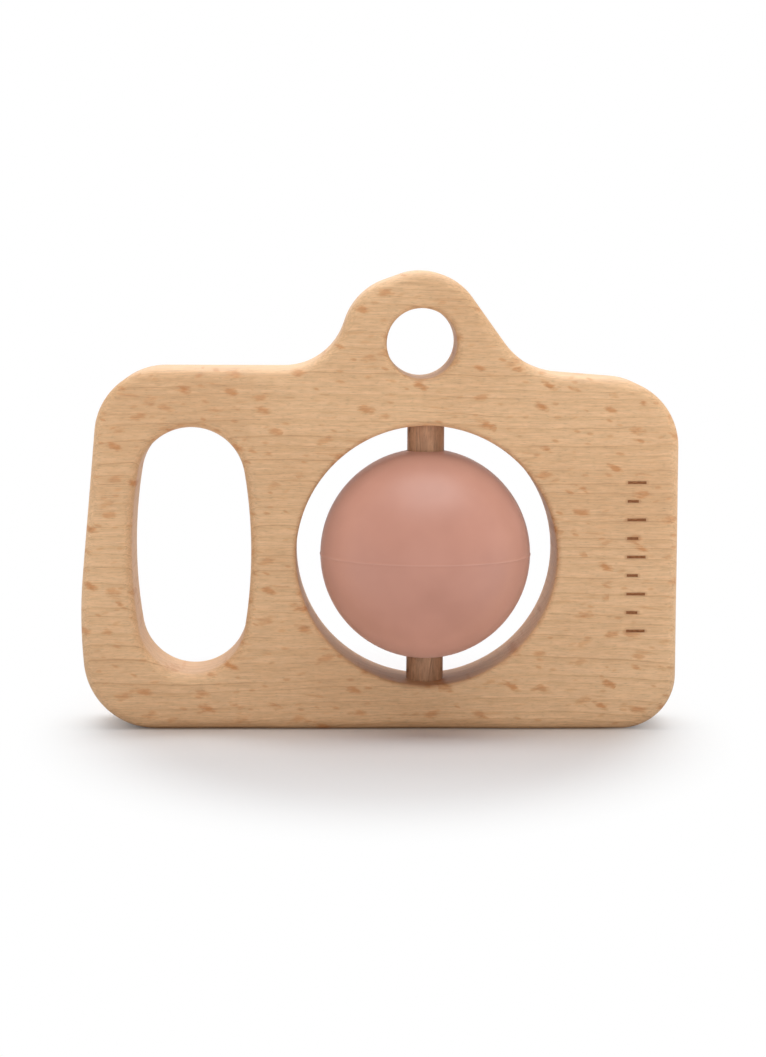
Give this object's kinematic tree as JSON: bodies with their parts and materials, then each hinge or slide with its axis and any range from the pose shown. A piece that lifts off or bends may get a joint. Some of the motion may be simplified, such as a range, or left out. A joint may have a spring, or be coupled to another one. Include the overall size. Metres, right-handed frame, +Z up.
{
  "type": "toy camera",
  "caption": "Flat wooden toy camera with a grip hole, a strap hole in its crown and a round lens opening in which a soft ball turns on an upright dowel.",
  "frame": {"origin": "middle of the lower edge that the camera stands on, half way through its thickness", "axes": "+X to the right as seen from the front, away from the grip, +Y from the front to the back, +Z up"},
  "size_m": [0.128, 0.0458, 0.0983],
  "materials": {
    "board_beech": "sanded beech with a thin oil finish",
    "dowel_beech": "plain turned beech",
    "silicone": "matte moulded silicone, dusty pink",
    "wood_glue": "cured clear glue"
  },
  "bodies": {
    "body": {"board": "board_beech", "axle_dowel": "dowel_beech", "upper_glue": "wood_glue", "lower_glue": "wood_glue"},
    "ball": {"lens_ball": "silicone"}
  },
  "joints": [
    {"name": "ball_spin", "type": "hinge", "parent": "body", "child": "ball", "pos_m": [0.0101, 0, 0.0371], "axis": [0, 0, 1], "continuous": true}
  ]
}
